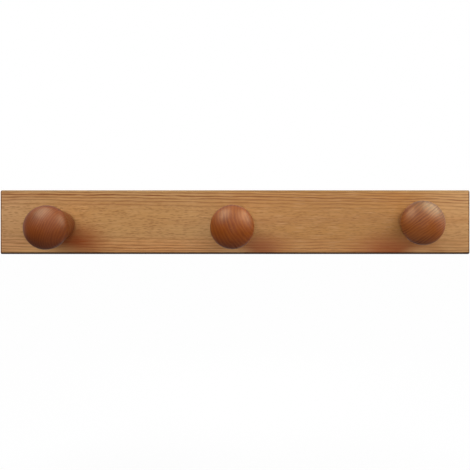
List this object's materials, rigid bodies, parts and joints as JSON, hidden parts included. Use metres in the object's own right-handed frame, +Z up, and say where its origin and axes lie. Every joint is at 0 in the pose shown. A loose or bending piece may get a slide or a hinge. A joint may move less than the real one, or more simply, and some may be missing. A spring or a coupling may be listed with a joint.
{
  "type": "coat rack",
  "caption": "Wall-hung peg rail: a straight beech board with eased edges and turned, domed pegs for coats, hung by keyhole plates let into its back.",
  "frame": {"origin": "middle of the board's back face, which lies on the wall", "axes": "+X along the board to the right as seen from the room, +Y into the wall, +Z up; the pegs point along -Y"},
  "size_m": [0.44, 0.0635, 0.06],
  "materials": {
    "board_wood": "honey beech, clear satin lacquer",
    "peg_wood": "beech stained red-brown, semi-gloss lacquer",
    "plate_steel": "pressed steel, bright zinc plated",
    "screw_steel": "steel, yellow zinc plated"
  },
  "bodies": {
    "root": {"rail_board": "board_wood", "peg_left": "peg_wood", "peg_middle": "peg_wood", "peg_right": "peg_wood", "peg_screw_left": "screw_steel", "peg_screw_middle": "screw_steel", "peg_screw_right": "screw_steel", "keyhole_plate_left": "plate_steel", "keyhole_plate_right": "plate_steel", "plate_screw_left_upper": "screw_steel", "plate_screw_left_lower": "screw_steel", "plate_screw_right_upper": "screw_steel", "plate_screw_right_lower": "screw_steel"}
  },
  "joints": []
}
